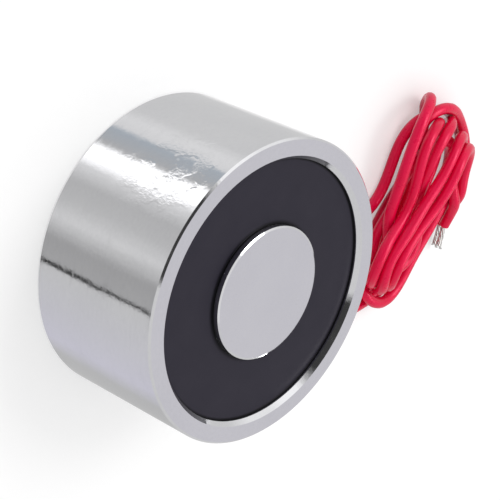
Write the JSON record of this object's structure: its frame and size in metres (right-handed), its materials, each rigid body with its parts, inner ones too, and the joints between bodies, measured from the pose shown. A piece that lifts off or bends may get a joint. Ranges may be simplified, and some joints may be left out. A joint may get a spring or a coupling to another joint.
{
  "type": "holding electromagnet",
  "caption": "Round pot electromagnet with a flat holding face, a resin-filled ring round its centre pole, a threaded hole in the back for fixing, and insulated leads wound in a hank.",
  "frame": {"origin": "Middle of the flat back of the pot, on the surface that it stands on, at the mouth of the rear thread.", "axes": "+Z is the pot's axis, from the back to the holding face. +Y is the side where the leads leave the wall. +X makes the frame right-handed."},
  "size_m": [0.0575, 0.0809, 0.02],
  "materials": {
    "plated_steel": "bright plated, fine turned",
    "potting": "cast satin",
    "bobbin_nylon": "moulded",
    "copper": "enamelled copper",
    "coil_tape": "smooth film",
    "tinned": "tinned",
    "shrink_sleeve": "shrunk",
    "lead_insulation": "extruded"
  },
  "bodies": {
    "root": {"magnet_pot": "plated_steel", "potting_resin": "potting", "coil_bobbin": "bobbin_nylon", "coil_winding": "copper", "start_tail": "copper", "finish_tail": "copper", "winding_tape": "coil_tape", "start_solder_joint": "tinned", "finish_solder_joint": "tinned", "start_lead_tip": "tinned", "finish_lead_tip": "tinned", "start_splice_sleeve": "shrink_sleeve", "finish_splice_sleeve": "shrink_sleeve", "exit_sleeve": "shrink_sleeve", "start_lead": "lead_insulation", "finish_lead": "lead_insulation", "lead_hank": "lead_insulation"}
  },
  "joints": []
}
